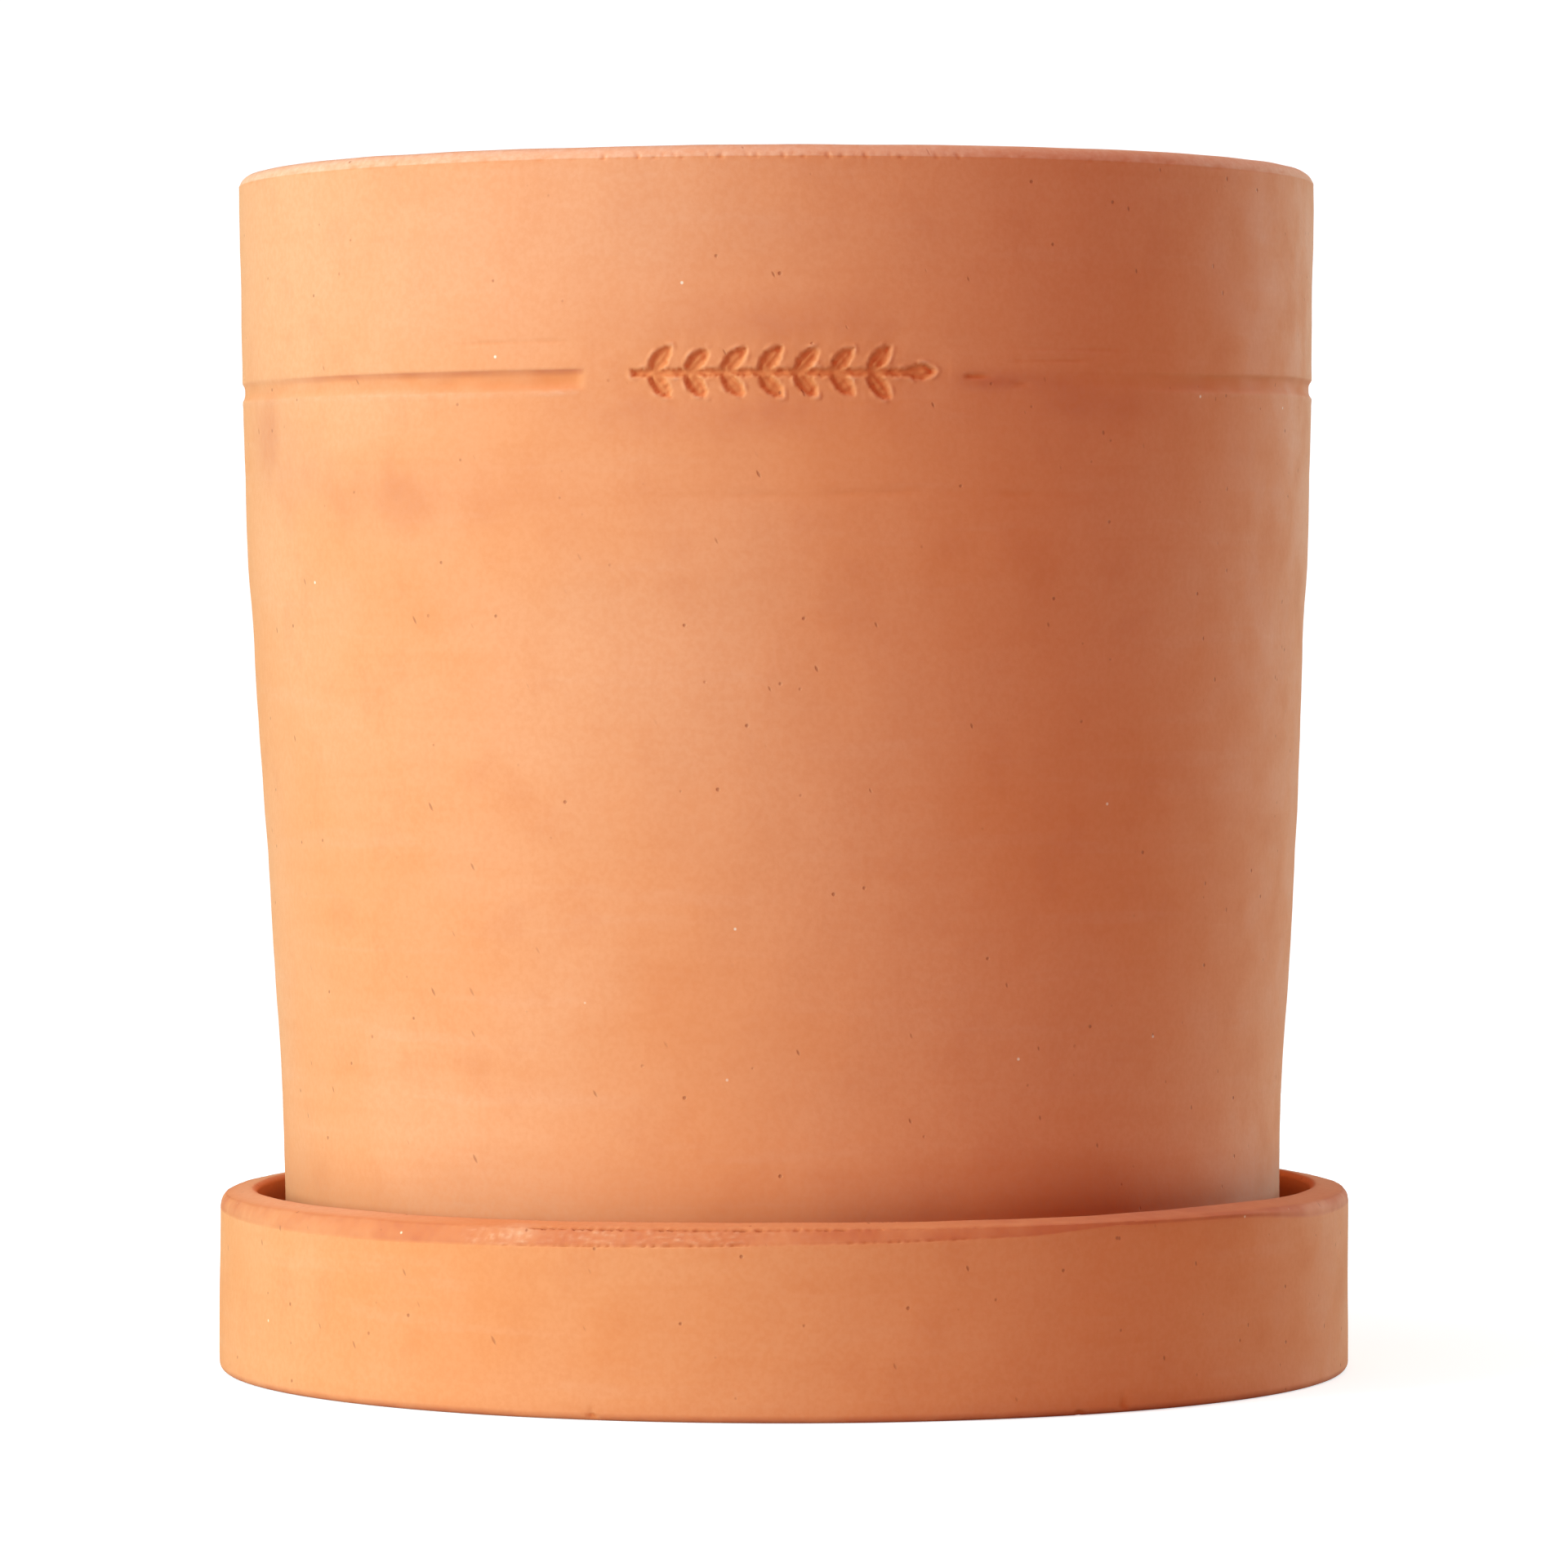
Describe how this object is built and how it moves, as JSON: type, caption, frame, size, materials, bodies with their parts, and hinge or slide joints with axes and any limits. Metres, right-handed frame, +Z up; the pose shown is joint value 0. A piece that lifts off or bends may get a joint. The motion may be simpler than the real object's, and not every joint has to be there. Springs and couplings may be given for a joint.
{
  "type": "flower pot with saucer",
  "caption": "Terracotta flower pot with a slight taper, a shallow groove round its collar and a drain hole, standing loose in a round saucer.",
  "frame": {"origin": "under the middle of the saucer's foot, on the turning axis", "axes": "+Z up along the turning axis, -Y towards the sprig pressed into the collar, +X to the right of someone facing the sprig"},
  "size_m": [0.168, 0.168, 0.177],
  "materials": {
    "saucer_clay": "matte unglazed terracotta",
    "pot_clay": "matte unglazed terracotta"
  },
  "bodies": {
    "saucer": {"saucer": "saucer_clay"},
    "pot": {"pot": "pot_clay"}
  },
  "joints": [
    {"name": "pot_lift", "type": "slide", "parent": "saucer", "child": "pot", "axis": [0, 0, 1], "range_m": [0, 0.08]}
  ]
}
